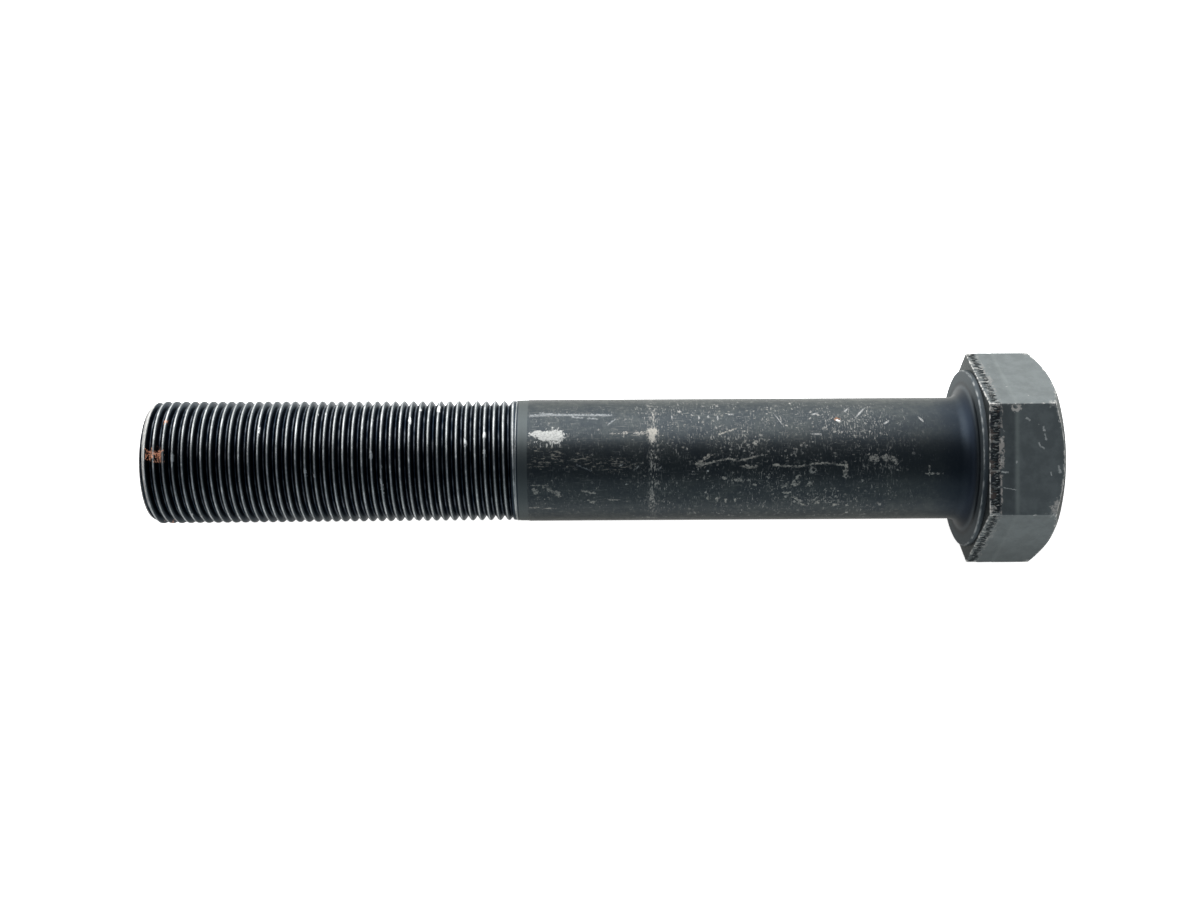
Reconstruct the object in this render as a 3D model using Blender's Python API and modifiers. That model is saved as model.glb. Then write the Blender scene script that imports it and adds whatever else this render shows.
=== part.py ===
"""Hex bolt, M20 x 1.5 right-hand fine thread, 133 mm under the head, 30 mm across flats.

One forged and thread-rolled piece of steel: hexagon head with a washer face, a large
fillet under the head, a plain shank and a rolled thread with a chamfered end.
Units are metres, +Z is up. The bolt lies along X with its head towards +X, one wrench
flat facing up and the opposite flat on the ground plane.
"""

import math

import bmesh
import bpy
from mathutils import Matrix, Vector

MM = 0.001

# Driving dimensions
THREAD_PITCH = 1.5 * MM
NOMINAL_RADIUS = 10.0 * MM  # plain shank
CREST_RADIUS = 9.94 * MM  # thread crests, a little under the shank
ROOT_RADIUS = 9.08 * MM  # thread roots
CREST_FLAT = THREAD_PITCH / 8
ROOT_FLAT = THREAD_PITCH / 4
ACROSS_FLATS = 30.0 * MM
HEAD_HEIGHT = 13.0 * MM  # bearing face to head top, washer face included
WASHER_FACE_HEIGHT = 0.8 * MM
WASHER_FACE_RADIUS = 14.5 * MM
WASHER_FACE_EDGE = 0.15 * MM
FILLET_RADIUS = 2.4 * MM
LENGTH_UNDER_HEAD = 133.0 * MM
THREAD_LENGTH = 59.8 * MM  # end face to the shoulder where the grooves stop
SHOULDER_RING = 1.8 * MM  # smooth ring between the thread and the plain shank
SHOULDER_RING_DROP = 0.06 * MM
END_FACE_RADIUS = 9.3 * MM
END_CHAMFER_LENGTH = 1.0 * MM
HEAD_TOP_RADIUS = 14.0 * MM  # flat circle on the head inside the 30 degree chamfer
HEAD_CHAMFER_ANGLE = math.radians(30)
HEAD_EDGE_ROUND = 0.3 * MM

# Facet counts
THREAD_STEPS = 20
SHANK_STEPS = 48
HEAD_STEPS = 72
FILLET_STEPS = 7

# Positions along the bolt, with the middle of its length at 0
HALF_LENGTH = (LENGTH_UNDER_HEAD + HEAD_HEIGHT) / 2
HEAD_TOP = HALF_LENGTH
BEARING_FACE = HEAD_TOP - HEAD_HEIGHT
HEX_BASE = BEARING_FACE + WASHER_FACE_HEIGHT
END_FACE = -HALF_LENGTH
SHOULDER = END_FACE + THREAD_LENGTH
FIRST_CREST = END_FACE + 0.96 * MM  # where the first crest crosses the upper side

COLLECTION_NAME = "Hex bolt"


def clear_scene():
    for obj in list(bpy.data.objects):
        bpy.data.objects.remove(obj, do_unlink=True)
    for collection in list(bpy.data.collections):
        bpy.data.collections.remove(collection)


def new_collection(name, hidden=False):
    collection = bpy.data.collections.new(name)
    bpy.context.scene.collection.children.link(collection)
    collection.hide_render = hidden
    return collection


def black_oxide():
    """Black-oxide finished steel with a satin, slightly oily surface."""
    material = bpy.data.materials.new("black_oxide_steel")
    material.use_nodes = True
    shader = material.node_tree.nodes["Principled BSDF"]
    shader.inputs["Base Color"].default_value = (0.035, 0.042, 0.046, 1.0)
    shader.inputs["Roughness"].default_value = 0.42
    shader.inputs["Metallic"].default_value = 0.85
    material.diffuse_color = (0.035, 0.042, 0.046, 1.0)
    return material


def object_from_bmesh(bm, name, collection):
    mesh = bpy.data.meshes.new(name)
    bm.to_mesh(mesh)
    bm.free()
    obj = bpy.data.objects.new(name, mesh)
    collection.objects.link(obj)
    return obj


def profile_object(points, name, collection):
    """An open outline of (radius, height) points in the XZ plane."""
    bm = bmesh.new()
    verts = [bm.verts.new((r, 0.0, z)) for r, z in points]
    for a, b in zip(verts, verts[1:]):
        bm.edges.new((a, b))
    return object_from_bmesh(bm, name, collection)


def freeze(obj):
    """Turns an object with modifiers into plain mesh data."""
    graph = bpy.context.evaluated_depsgraph_get()
    graph.update()
    mesh = bpy.data.meshes.new_from_object(obj.evaluated_get(graph))
    old = obj.data
    obj.modifiers.clear()
    obj.data = mesh
    if old.users == 0:
        bpy.data.meshes.remove(old)
    mesh.name = obj.name
    return obj


def turned(points, name, collection, steps):
    """A solid of revolution about Z from an outline that runs top to bottom."""
    obj = profile_object(points, name, collection)
    screw = obj.modifiers.new("turn", "SCREW")
    screw.axis = "Z"
    screw.angle = 2 * math.pi
    screw.screw_offset = 0.0
    screw.steps = steps
    screw.render_steps = steps
    screw.use_merge_vertices = True
    screw.merge_threshold = 0.000001
    freeze(obj)
    bm = bmesh.new()
    bm.from_mesh(obj.data)
    bmesh.ops.remove_doubles(bm, verts=bm.verts[:], dist=0.000001)
    bmesh.ops.recalc_face_normals(bm, faces=bm.faces[:])
    bm.to_mesh(obj.data)
    bm.free()
    return obj


def fillet_points():
    """The quarter round between the bearing face and the shank, top to bottom."""
    centre_r = NOMINAL_RADIUS + FILLET_RADIUS
    centre_z = BEARING_FACE - FILLET_RADIUS
    points = []
    for i in range(FILLET_STEPS + 1):
        a = math.radians(90) + math.radians(90) * i / FILLET_STEPS
        points.append((centre_r + FILLET_RADIUS * math.cos(a), centre_z + FILLET_RADIUS * math.sin(a)))
    return points


def shank_solid(collection):
    """Washer face, fillet, plain shank and shoulder ring, turned in one piece."""
    inside_head = HEX_BASE + 3 * MM
    ring_radius = NOMINAL_RADIUS - SHOULDER_RING_DROP
    ring_top = SHOULDER + SHOULDER_RING
    points = [
        (0.0, inside_head),
        (WASHER_FACE_RADIUS, inside_head),
        (WASHER_FACE_RADIUS, BEARING_FACE + WASHER_FACE_EDGE),
        (WASHER_FACE_RADIUS - WASHER_FACE_EDGE, BEARING_FACE),
    ]
    points += fillet_points()
    points += [
        (NOMINAL_RADIUS, ring_top),
        (ring_radius, ring_top - 0.35 * MM),
        (ring_radius, SHOULDER + 0.25 * MM),
        (ring_radius - 0.2 * MM, SHOULDER),
        (0.0, SHOULDER),
    ]
    return turned(points, "shank", collection, SHANK_STEPS)


def thread_solid(collection):
    """A solid bounded by the helical thread surface, longer than the finished thread."""
    flank = (THREAD_PITCH - CREST_FLAT - ROOT_FLAT) / 2
    # The outline of one pitch, from the lower edge of a crest up to the next crest.
    outline = [
        (CREST_RADIUS, -CREST_FLAT / 2),
        (CREST_RADIUS, CREST_FLAT / 2),
        (ROOT_RADIUS, CREST_FLAT / 2 + flank),
        (ROOT_RADIUS, CREST_FLAT / 2 + flank + ROOT_FLAT),
        (CREST_RADIUS, THREAD_PITCH - CREST_FLAT / 2),
    ]
    # The upper side of the lying bolt is at local -X, half a turn after the outline.
    turns_before = 2
    start = FIRST_CREST - THREAD_PITCH * (turns_before + 0.5)
    turns = math.ceil((SHOULDER - start) / THREAD_PITCH) + 1
    obj = profile_object([(r, z + start) for r, z in outline], "thread", collection)
    screw = obj.modifiers.new("helix", "SCREW")
    screw.axis = "Z"
    screw.angle = 2 * math.pi
    screw.screw_offset = THREAD_PITCH
    screw.iterations = turns
    screw.steps = THREAD_STEPS
    screw.render_steps = THREAD_STEPS
    screw.use_merge_vertices = False
    screw.merge_threshold = 0.000001
    freeze(obj)

    bm = bmesh.new()
    bm.from_mesh(obj.data)
    bmesh.ops.remove_doubles(bm, verts=bm.verts[:], dist=0.00001)
    middle = (start + start + turns * THREAD_PITCH) / 2
    open_edges = [e for e in bm.edges if e.is_boundary]
    for low in (True, False):
        loop = [e for e in open_edges if (sum(v.co.z for v in e.verts) / 2 < middle) == low]
        made = bmesh.ops.extrude_edge_only(bm, edges=loop)
        verts = [g for g in made["geom"] if isinstance(g, bmesh.types.BMVert)]
        height = sum(v.co.z for v in verts) / len(verts)
        bmesh.ops.pointmerge(bm, verts=verts, merge_co=Vector((0.0, 0.0, height)))
    bmesh.ops.recalc_face_normals(bm, faces=bm.faces[:])
    bm.to_mesh(obj.data)
    bm.free()
    return obj


def thread_envelope(collection):
    """What the finished thread keeps: a cylinder with the end chamfer, into the shank."""
    chamfer_reach = CREST_RADIUS + 0.4 * MM
    slope = END_CHAMFER_LENGTH / (CREST_RADIUS - END_FACE_RADIUS)
    points = [
        (0.0, SHOULDER + 1.0 * MM),
        (chamfer_reach, SHOULDER + 1.0 * MM),
        (chamfer_reach, END_FACE + slope * (chamfer_reach - END_FACE_RADIUS)),
        (END_FACE_RADIUS, END_FACE),
        (0.0, END_FACE),
    ]
    return turned(points, "thread_envelope", collection, SHANK_STEPS)


def hexagon_solid(collection):
    """The six-sided prism of the head, corners at local +Y and -Y, edges softly rounded."""
    corner_radius = ACROSS_FLATS / math.sqrt(3)
    height = HEAD_TOP - HEX_BASE
    bm = bmesh.new()
    bmesh.ops.create_cone(
        bm, cap_ends=True, segments=6, radius1=corner_radius, radius2=corner_radius, depth=height
    )
    first = max(bm.verts, key=lambda v: (round(v.co.z, 6), v.co.x))
    turn = math.radians(90) - math.atan2(first.co.y, first.co.x)
    bmesh.ops.rotate(bm, verts=bm.verts[:], cent=(0, 0, 0), matrix=Matrix.Rotation(turn, 3, "Z"))
    bmesh.ops.translate(bm, verts=bm.verts[:], vec=(0, 0, HEX_BASE + height / 2))
    corners = [e for e in bm.edges if abs(e.verts[0].co.z - e.verts[1].co.z) > height / 2]
    bmesh.ops.bevel(
        bm, geom=corners, offset=HEAD_EDGE_ROUND, offset_type="OFFSET", segments=2, profile=0.5, affect="EDGES"
    )
    bmesh.ops.recalc_face_normals(bm, faces=bm.faces[:])
    return object_from_bmesh(bm, "hex_bolt", collection)


def head_chamfer_envelope(collection):
    """The 30 degree cone that rounds the top corners of the hexagon."""
    reach = 19.0 * MM
    drop = (reach - HEAD_TOP_RADIUS) * math.tan(HEAD_CHAMFER_ANGLE)
    points = [
        (0.0, HEAD_TOP),
        (HEAD_TOP_RADIUS, HEAD_TOP),
        (reach, HEAD_TOP - drop),
        (reach, HEX_BASE - 2.0 * MM),
        (0.0, HEX_BASE - 2.0 * MM),
    ]
    obj = turned(points, "head_chamfer", collection, HEAD_STEPS)
    return obj


def boolean(obj, other, operation, name):
    modifier = obj.modifiers.new(name, "BOOLEAN")
    modifier.operation = operation
    modifier.solver = "EXACT"
    modifier.object = other


def build():
    clear_scene()
    parts = new_collection(COLLECTION_NAME)
    tools = new_collection(COLLECTION_NAME + " cutters")

    axis = bpy.data.objects.new("bolt_axis", None)
    axis.empty_display_type = "ARROWS"
    axis.empty_display_size = 0.02
    parts.objects.link(axis)
    axis.location = (0.0, 0.0, ACROSS_FLATS / 2)
    axis.rotation_euler = (0.0, math.radians(90), 0.0)

    bolt = hexagon_solid(parts)
    shank = shank_solid(tools)
    thread = thread_solid(tools)
    envelope = thread_envelope(tools)
    chamfer = head_chamfer_envelope(tools)

    for obj in (bolt, shank, thread, envelope, chamfer):
        obj.parent = axis
    for obj in (shank, thread, envelope, chamfer):
        obj.hide_render = True
        obj.display_type = "WIRE"

    boolean(thread, envelope, "INTERSECT", "end chamfer")
    boolean(bolt, chamfer, "INTERSECT", "head chamfer")
    boolean(bolt, shank, "UNION", "shank")
    boolean(bolt, thread, "UNION", "thread")

    bolt.data.materials.append(black_oxide())
    bolt.data.shade_smooth()
    bolt.data.set_sharp_from_angle(angle=math.radians(25))


build()
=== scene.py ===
"""Hex bolt, M20 x 1.5: the visible model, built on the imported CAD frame.

The bolt lies along X with its head towards +X. Lengths in the shaders are in
millimetres, measured from the bolt's axis and its end face; everything else is in metres.
"""

import math

import bmesh
import bpy
from bpy.props import FloatProperty, FloatVectorProperty, IntProperty, PointerProperty
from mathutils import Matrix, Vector


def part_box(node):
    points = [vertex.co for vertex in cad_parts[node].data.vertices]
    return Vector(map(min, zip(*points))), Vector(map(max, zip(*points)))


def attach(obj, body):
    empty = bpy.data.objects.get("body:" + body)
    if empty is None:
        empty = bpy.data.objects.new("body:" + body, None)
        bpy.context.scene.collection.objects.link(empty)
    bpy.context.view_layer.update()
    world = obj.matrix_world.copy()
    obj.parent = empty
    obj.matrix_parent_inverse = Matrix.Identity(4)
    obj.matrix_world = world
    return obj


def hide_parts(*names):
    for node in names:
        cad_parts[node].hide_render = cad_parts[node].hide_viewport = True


bl_info = {
    "name": "Hex bolt",
    "version": (1, 0, 0),
    "blender": (4, 5, 0),
    "location": "3D View > Sidebar > Hex bolt",
    "description": "A black-oxide hexagon-head bolt with a fine thread, worn from handling",
    "category": "Object",
}

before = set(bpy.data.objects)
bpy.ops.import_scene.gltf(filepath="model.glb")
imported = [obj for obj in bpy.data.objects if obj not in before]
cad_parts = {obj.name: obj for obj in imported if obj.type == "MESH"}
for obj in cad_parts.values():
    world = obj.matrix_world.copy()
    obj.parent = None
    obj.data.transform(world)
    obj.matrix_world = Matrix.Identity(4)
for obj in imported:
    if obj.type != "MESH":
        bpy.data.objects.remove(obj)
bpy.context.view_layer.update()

MM = 0.001
NODE = "hex_bolt"
LOW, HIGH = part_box(NODE)
END_FACE = float(LOW[0])
HEAD_TOP = float(HIGH[0])
AXIS_HEIGHT = float(LOW[2] + HIGH[2]) / 2
ACROSS_FLATS = float(HIGH[2] - LOW[2])
SIXTH = math.radians(60)
HALF_SIDE = ACROSS_FLATS / 2 * math.tan(SIXTH / 2)
CHAMFER_SLOPE = math.tan(math.radians(30))


# ---------------------------------------------------------------- settings


def length(name, millimetres, description):
    """A size that the user can change, given in millimetres."""
    default = millimetres * MM
    return FloatProperty(
        name=name, description=description, default=default, subtype="DISTANCE", unit="LENGTH", precision=5
    )


def tint(name, color, description):
    """A colour that the user can change."""
    return FloatVectorProperty(
        name=name, description=description, default=color, subtype="COLOR", size=3, min=0, max=1
    )


class HexBoltSizes(bpy.types.PropertyGroup):
    """Sizes of the bolt's forms."""

    thread_pitch: length("Thread pitch", 1.5, "Distance from one crest to the next")
    thread_length: length("Thread length", 59.8, "End face to the shoulder where the grooves stop")
    crest_radius_end: length("Crest radius at the end", 10.08, "Crest radius just behind the end chamfer")
    crest_radius_shoulder: length(
        "Crest radius at the shoulder", 9.84, "Crest radius where the thread runs out"
    )
    root_radius: length("Root radius", 9.12, "Radius at the bottom of the grooves")
    end_face_radius: length("End face radius", 9.3, "Radius of the flat end inside the chamfer")
    end_chamfer: length("End chamfer", 1.0, "Length of the chamfer at the threaded end")
    shank_radius: length("Shank radius", 10.0, "Radius of the plain shank")
    shoulder_ring: length("Shoulder ring", 1.9, "Length of the smooth ring between thread and shank")
    fillet_radius: length("Fillet radius", 2.4, "Radius of the fillet under the head")
    washer_face_radius: length("Washer face radius", 14.5, "Radius of the raised bearing face")
    washer_face_height: length(
        "Washer face height", 0.8, "How far the bearing face stands off the hexagon"
    )
    head_height: length("Head height", 13.0, "Bearing face to head top")
    head_top_radius: length("Head top radius", 14.0, "Flat circle on the head inside its chamfer")
    corner_round: length("Corner round", 0.14, "Rounding of the hexagon's six long edges")
    trim_band: length(
        "Trim band", 1.8, "Width of the toothed band left by trimming, next to the bearing side"
    )
    trim_step: length(
        "Trim step", 4.3, "Distance from the hexagon's base to the faint second trim line"
    )


class HexBoltFinish(bpy.types.PropertyGroup):
    """Colours and wear of the bolt's finish."""

    oxide: tint("Black oxide", (0.041, 0.046, 0.047), "Colour of the black-oxide finish")
    oxide_dark: tint("Dark oxide", (0.025, 0.030, 0.035), "Colour where the finish is thickest")
    trimmed: tint("Trimmed flats", (0.138, 0.151, 0.152), "Colour of the greyer flats of the head")
    # Groove colour: painted shade, darkening the thread's grooves and the line beside the shoulder lip.
    groove_shade: tint("Groove shade", (0.008, 0.013, 0.021), "Colour of the shaded thread grooves")
    bare_steel: tint("Bare steel", (0.56, 0.57, 0.56), "Colour of steel that has been rubbed bright")
    rust: tint("Rust", (0.78, 0.38, 0.24), "Colour of the small rust spots")
    roughness: FloatProperty(
        name="Roughness",
        description="Roughness of the oxide finish",
        default=0.40,
        subtype="FACTOR",
        min=0,
        max=1,
    )
    seed: IntProperty(name="Seed", description="Seed of the teeth on the trim band", default=7, min=0)


# ---------------------------------------------------------------- node helpers


class Value:
    """A number, vector or colour that a node gives. Arithmetic on numbers adds math nodes."""

    def __init__(self, builder, socket):
        self.builder = builder
        self.socket = socket

    def __add__(self, other):
        return self.builder.math("ADD", self, other)

    def __radd__(self, other):
        return self.builder.math("ADD", other, self)

    def __sub__(self, other):
        return self.builder.math("SUBTRACT", self, other)

    def __rsub__(self, other):
        return self.builder.math("SUBTRACT", other, self)

    def __mul__(self, other):
        return self.builder.math("MULTIPLY", self, other)

    def __truediv__(self, other):
        return self.builder.math("DIVIDE", self, other)

    def __rtruediv__(self, other):
        return self.builder.math("DIVIDE", other, self)

    def __abs__(self):
        return self.builder.math("ABSOLUTE", self)


class Tree:
    """Adds nodes to a node tree, one call for each node."""

    def __init__(self, tree):
        self.tree = tree
        self.count = 0

    def add(self, kind, inputs=None, **settings):
        """Adds a node with its settings and fills its inputs, which are given by name or number."""
        node = self.tree.nodes.new(kind)
        node.location = (180 * (self.count // 6), -190 * (self.count % 6))
        self.count += 1
        for name, value in settings.items():
            setattr(node, name, value)
        for key, value in (inputs or {}).items():
            self.put(node.inputs[key], value)
        return node

    def get(self, kind, inputs=None, output=0, **settings):
        """Adds a node and gives one of its outputs."""
        return Value(self, self.add(kind, inputs, **settings).outputs[output])

    def put(self, socket, value):
        """Links a value to an input, or sets the input to a constant."""
        if isinstance(value, Value):
            self.tree.links.new(value.socket, socket)
        elif socket.type == "RGBA":
            socket.default_value = rgba(value)
        else:
            socket.default_value = value

    def math(self, operation, *values, clamp=False):
        return self.get("ShaderNodeMath", dict(enumerate(values)), operation=operation, use_clamp=clamp)

    def vector(self, operation, *values):
        output = "Value" if operation == "LENGTH" else "Vector"
        return self.get("ShaderNodeVectorMath", dict(enumerate(values)), output, operation=operation)

    def join(self, x, y, z):
        return self.get("ShaderNodeCombineXYZ", {0: x, 1: y, 2: z})

    def split(self, vector):
        node = self.add("ShaderNodeSeparateXYZ", {0: vector})
        return [Value(self, socket) for socket in node.outputs]

    def scaled(self, vector, scale):
        """A Mapping node that only scales."""
        return self.get("ShaderNodeMapping", {"Vector": vector, "Scale": scale})

    def ramp(self, value, low, high, to_low=0.0, to_high=1.0, shape="SMOOTHSTEP"):
        """Goes from to_low to to_high as the value goes from low to high, and stays there beyond."""
        inputs = dict(enumerate((value, low, high, to_low, to_high)))
        return self.get("ShaderNodeMapRange", inputs, interpolation_type=shape, clamp=True)

    def fall(self, value, low, high):
        """1 up to low, 0 from high."""
        return self.ramp(value, low, high, 1.0, 0.0)

    def window(self, value, low, high, soft=0.3):
        """1 between low and high, fading over soft on both sides."""
        return self.ramp(value, low - soft, low + soft) * self.fall(value, high - soft, high + soft)

    def noise(self, vector, scale=1.0, detail=2.0, roughness=0.5, seed=None):
        inputs = {"Vector": vector, "Scale": scale, "Detail": detail, "Roughness": roughness}
        if seed is None:
            return self.get("ShaderNodeTexNoise", inputs, noise_dimensions="3D")
        return self.get("ShaderNodeTexNoise", {**inputs, "W": seed}, noise_dimensions="4D")

    def most(self, *masks):
        result = masks[0]
        for mask in masks[1:]:
            result = self.math("MAXIMUM", result, mask)
        return result

    def mix(self, factor, a, b):
        """Blends two numbers."""
        return self.get("ShaderNodeMix", {0: factor, 2: a, 3: b}, data_type="FLOAT", clamp_factor=True)

    def blend(self, factor, a, b):
        """Blends two colours."""
        return self.get("ShaderNodeMix", {0: factor, 6: a, 7: b}, 2, data_type="RGBA", clamp_factor=True)

    def use(self, group, **values):
        """Places a shared group and gives its outputs by name; underscores in inputs stand for spaces."""
        inputs = {name.replace("_", " "): value for name, value in values.items()}
        node = self.add("ShaderNodeGroup", inputs, node_tree=bpy.data.node_groups[group])
        return {socket.name: Value(self, socket) for socket in node.outputs}


class Group(Tree):
    """A new node group. Each input has a default, which also tells its type: None stands for a vector."""

    KINDS = {float: "Float", int: "Int", tuple: "Color", type(None): "Vector"}

    def __init__(self, name, inputs, outputs, kind="ShaderNodeTree"):
        super().__init__(bpy.data.node_groups.new(name, kind))
        for label, default in inputs.items():
            item = self.socket(label, "INPUT", self.KINDS[type(default)])
            if default is not None:
                item.default_value = default
        for label, kind_name in outputs.items():
            self.socket(label, "OUTPUT", kind_name)
        start = self.add("NodeGroupInput")
        self.given = {socket.name: Value(self, socket) for socket in start.outputs}
        self.end = self.add("NodeGroupOutput")

    def socket(self, label, direction, kind_name):
        socket_type = "NodeSocket" + kind_name
        return self.tree.interface.new_socket(name=label, in_out=direction, socket_type=socket_type)

    def give(self, name, value):
        self.put(self.end.inputs[name], value)


def rgba(color):
    return (color[0], color[1], color[2], 1.0)


# ---------------------------------------------------------------- shared effects


def bolt_space_group():
    """Where a point is on the bolt, in millimetres.

    Along is its distance from the end face, Around its distance round the shank from
    the top line, Radius its distance from the axis.
    """
    outputs = {"Along": "Float", "Around": "Float", "Radius": "Float", "Angle": "Float"}
    g = Group("bolt_space", {"From End Face": None}, outputs)
    per_metre = (1 / MM, 1 / MM, 1 / MM)
    x, y, z = g.split(g.vector("MULTIPLY", g.given["From End Face"], per_metre))
    g.give("Along", x)
    angle = g.math("ARCTAN2", y, z)
    g.give("Angle", angle)
    shank_radius = 10.0
    g.give("Around", angle * shank_radius)
    g.give("Radius", g.vector("LENGTH", g.join(0.0, y, z)))


def streaks_group():
    """Thin broken scratches, drawn out along and round the bolt by different lengths."""
    inputs = {
        "Millimetres": None,
        "Length Along": 1.0,
        "Length Around": 1.0,
        "Coverage": 0.3,
        "Softness": 0.06,
        "Seed": 0.0,
    }
    g = Group("streaks", inputs, {"Mask": "Float"})
    squeeze = 1.0 / g.given["Length Around"]
    stretched = g.scaled(g.given["Millimetres"], g.join(1.0 / g.given["Length Along"], squeeze, squeeze))
    fine = g.noise(stretched, 1.0, 3.0, 0.6, g.given["Seed"])
    edge = 1.0 - g.given["Coverage"]
    g.give("Mask", g.ramp(fine, edge, edge + g.given["Softness"]))


def flecks_group():
    """Small scattered specks of varied size."""
    inputs = {"Millimetres": None, "Spacing": 1.0, "Size": 0.2, "Coverage": 0.5, "Seed": 0.0}
    g = Group("flecks", inputs, {"Mask": "Float"})
    apart = 1.0 / g.given["Spacing"]
    spread = g.scaled(g.given["Millimetres"], g.join(apart, apart, apart))
    wobble = g.noise(spread, 3.4, 2.0, 0.6, g.given["Seed"])
    cell_inputs = {"Vector": spread, "W": g.given["Seed"], "Scale": 1.0}
    cells = g.add("ShaderNodeTexVoronoi", cell_inputs, voronoi_dimensions="4D")
    chances = g.add("ShaderNodeSeparateColor", {0: Value(g, cells.outputs["Color"])}).outputs
    size = g.given["Size"] * Value(g, chances[1])
    bent = Value(g, cells.outputs["Distance"]) + (wobble - 0.5) * (size * 2.6)
    dot = g.fall(bent, size * 0.6, size)
    kept = g.math("LESS_THAN", Value(g, chances[0]), g.given["Coverage"])
    g.give("Mask", dot * kept)


def mark_group():
    """One placed mark on the round surface: an oval whose edge is broken up by a ragged field."""
    inputs = {
        "Along": 0.0,
        "Around": 0.0,
        "Ragged": 0.0,
        "Centre Along": 0.0,
        "Centre Around": 0.0,
        "Length": 1.0,
        "Width": 1.0,
        "Tilt": 0.0,
    }
    g = Group("mark", inputs, {"Mask": "Float"})
    dx = g.given["Along"] - g.given["Centre Along"]
    dy = g.given["Around"] - g.given["Centre Around"]
    dy = dy - dx * g.given["Tilt"]
    ax = dx / (g.given["Length"] * 0.5)
    ay = dy / (g.given["Width"] * 0.5)
    away = g.math("SQRT", ax * ax + ay * ay)
    g.give("Mask", g.fall(away + g.given["Ragged"], 0.75, 1.1))


def hexagon_space_group():
    """Where a point is on the head, in millimetres.

    Across runs along a flat from its middle, and Inset inwards from its surface. The other
    outputs are distances from the nearest long edge, the chamfer and the hexagon's base.
    """
    names = ("Across", "Inset", "Corner Distance", "Chamfer Distance", "Base Distance")
    inputs = {"From End Face": None, "Top Radius": 14.0, "Base Along": 0.0, "Top Along": 0.0}
    g = Group("hexagon_space", inputs, dict.fromkeys(names, "Float"))
    place = g.use("bolt_space", From_End_Face=g.given["From End Face"])
    turned = place["Angle"] + SIXTH / 2
    index = g.math("FLOOR", turned / SIXTH)
    folded = turned - index * SIXTH - SIXTH / 2
    across = place["Radius"] * g.math("SINE", folded)
    g.give("Across", across)
    g.give("Inset", ACROSS_FLATS / MM / 2 - place["Radius"] * g.math("COSINE", folded))
    g.give("Corner Distance", HALF_SIDE / MM - abs(across))
    drop = (place["Radius"] - g.given["Top Radius"]) * CHAMFER_SLOPE
    g.give("Chamfer Distance", g.given["Top Along"] - drop - place["Along"])
    g.give("Base Distance", place["Along"] - g.given["Base Along"])


def oxide_group(finish):
    """Black-oxide steel: mottled colour and roughness, and the height of its fine grain."""
    inputs = {
        "Millimetres": None,
        "Oxide": rgba(finish.oxide),
        "Dark Oxide": rgba(finish.oxide_dark),
        "Roughness": finish.roughness,
        "Mottle": 0.6,
    }
    g = Group("black_oxide", inputs, {"Color": "Color", "Roughness": "Float", "Height": "Float"})
    mm = g.given["Millimetres"]
    clouds = g.noise(mm, 0.16, 3.0, 0.6)
    spots = g.noise(mm, 1.3, 5.0, 0.62)
    grain = g.noise(mm, 5.5, 4.0, 0.6)
    tone = g.ramp(clouds * 0.55 + spots * 0.45, 0.36, 0.64)
    g.give("Color", g.blend(tone * g.given["Mottle"], g.given["Oxide"], g.given["Dark Oxide"]))
    wander = (spots + grain - 1.0) * 0.32
    g.give("Roughness", g.math("ADD", g.given["Roughness"], wander, clamp=True))
    g.give("Height", grain * 0.5 + spots * 0.5)


def shared_groups(finish):
    """Makes the shared effects once."""
    if "bolt_space" in bpy.data.node_groups:
        return
    bolt_space_group()
    streaks_group()
    flecks_group()
    mark_group()
    hexagon_space_group()
    oxide_group(finish)


# ---------------------------------------------------------------- materials


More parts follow.
